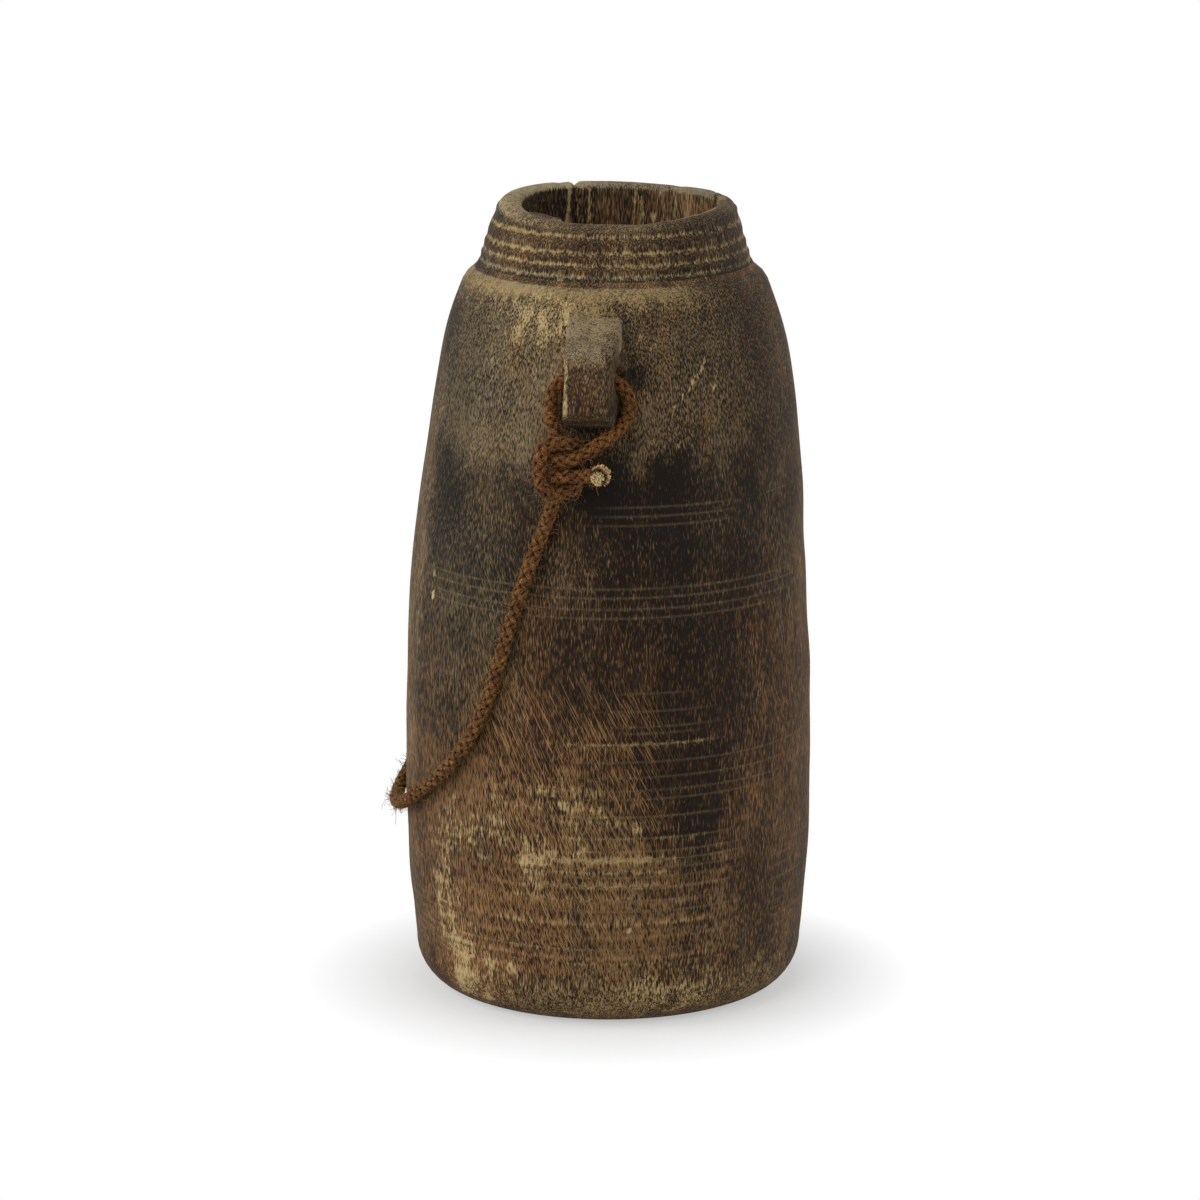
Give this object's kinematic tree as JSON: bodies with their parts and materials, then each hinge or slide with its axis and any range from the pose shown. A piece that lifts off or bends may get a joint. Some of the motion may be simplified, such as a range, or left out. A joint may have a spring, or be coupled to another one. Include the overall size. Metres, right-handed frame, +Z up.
{
  "type": "wooden milk pot with rope handle",
  "caption": "Tall turned and carved wooden milk pot with a ringed narrow collar, carved lugs and a plaited rope handle tied through them.",
  "frame": {"origin": "on the floor under the middle of the foot", "axes": "+Z up along the pot, -Y out through the front lug, +Y out through the back lug, -X towards the side the rope hangs round"},
  "size_m": [0.194, 0.2201, 0.36],
  "materials": {
    "aged_wood": "dry, worn, dusty",
    "plaited_rope": "rough plant fibre"
  },
  "bodies": {
    "root": {"vessel": "aged_wood", "rope_front_hitch": "plaited_rope", "rope_span": "plaited_rope", "rope_back_hitch": "plaited_rope"}
  },
  "joints": []
}
